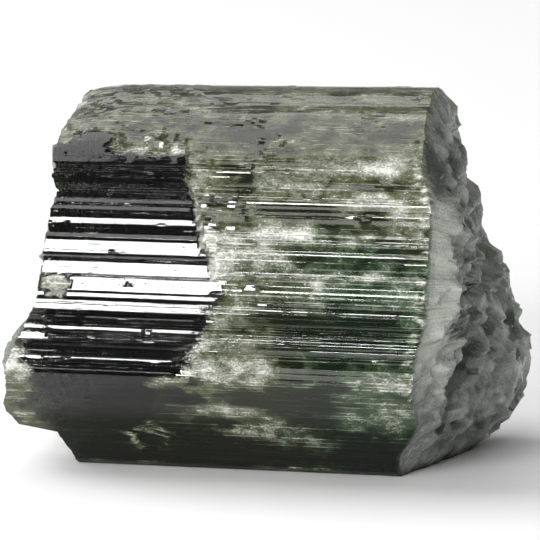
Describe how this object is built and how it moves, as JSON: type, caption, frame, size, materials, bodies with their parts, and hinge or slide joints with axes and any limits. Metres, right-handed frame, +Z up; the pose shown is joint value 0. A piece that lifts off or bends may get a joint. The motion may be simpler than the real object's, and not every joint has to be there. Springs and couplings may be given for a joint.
{
  "type": "tourmaline crystal",
  "caption": "Stubby striated prism of dark green tourmaline, broken off at both ends and lying on a flat side.",
  "frame": {"origin": "middle of the bounding box, on the surface that the crystal lies on", "axes": "+X along the prism towards its rough, stepped end, -Y towards the bright striated front, +Z up"},
  "size_m": [0.023, 0.0178, 0.018],
  "materials": {
    "tourmaline": "glassy dark green, see-through only at thin edges, with cloudy and frosted broken areas"
  },
  "bodies": {
    "root": {"tourmaline_crystal": "tourmaline"}
  },
  "joints": []
}
